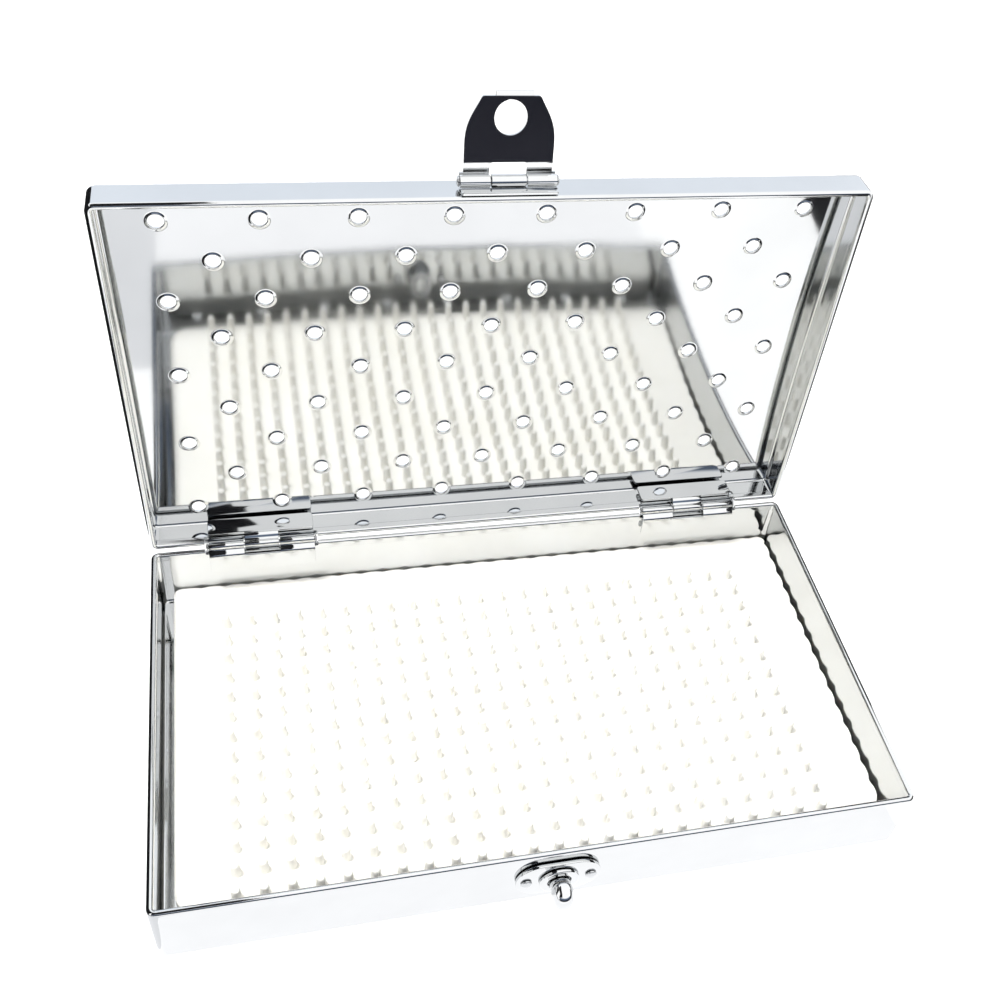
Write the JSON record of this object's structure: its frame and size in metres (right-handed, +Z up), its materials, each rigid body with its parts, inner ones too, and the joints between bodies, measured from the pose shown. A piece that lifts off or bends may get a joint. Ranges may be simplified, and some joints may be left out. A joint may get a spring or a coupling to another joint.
{
  "type": "surgical instrument box",
  "caption": "Perforated stainless steel instrument box with hinged lid, silicone finger mat, swinging hasp and turn knob, shown open.",
  "frame": {"origin": "centre of the tray's flat underside", "axes": "+X along the length to the right, +Y from the front wall to the hinges, +Z up"},
  "size_m": [0.2, 0.1379, 0.1613],
  "materials": {
    "polished_steel": "mirror-polished stainless steel sheet",
    "satin_steel": "drawn stainless steel wire and turned pieces, satin",
    "silicone": "matt translucent white silicone"
  },
  "bodies": {
    "base": {"base_tray": "polished_steel", "silicone_mat": "silicone", "hinge_left_tray_leaf": "polished_steel", "hinge_left_pin": "satin_steel", "hinge_right_tray_leaf": "polished_steel", "hinge_right_pin": "satin_steel", "latch_plate": "polished_steel", "latch_ferrule": "polished_steel", "latch_rivet_left": "satin_steel", "latch_rivet_right": "satin_steel", "knob_spring_washer": "satin_steel", "knob_backing_washer": "satin_steel"},
    "lid": {"lid_shell": "polished_steel", "hinge_left_lid_leaf": "polished_steel", "hinge_right_lid_leaf": "polished_steel", "hasp_fixed_leaf": "polished_steel", "hasp_pin": "satin_steel"},
    "hasp": {"hasp_leaf": "polished_steel"},
    "knob": {"turn_knob": "polished_steel", "knob_retaining_collar": "satin_steel"}
  },
  "joints": [
    {"name": "lid_hinge", "type": "hinge", "parent": "base", "child": "lid", "pos_m": [0, 0.0575, 0.0232], "axis": [1, 0, 0], "range_deg": [0, 91.5]},
    {"name": "hasp_hinge", "type": "hinge", "parent": "lid", "child": "hasp", "pos_m": [0, 0.06556, 0.13998], "axis": [1, 0, 0], "range_deg": [-78, 96]},
    {"name": "knob_turn", "type": "hinge", "parent": "base", "child": "knob", "pos_m": [0, -0.0575, 0.0126], "axis": [0, -1, 0], "range_deg": [0, 90]}
  ]
}
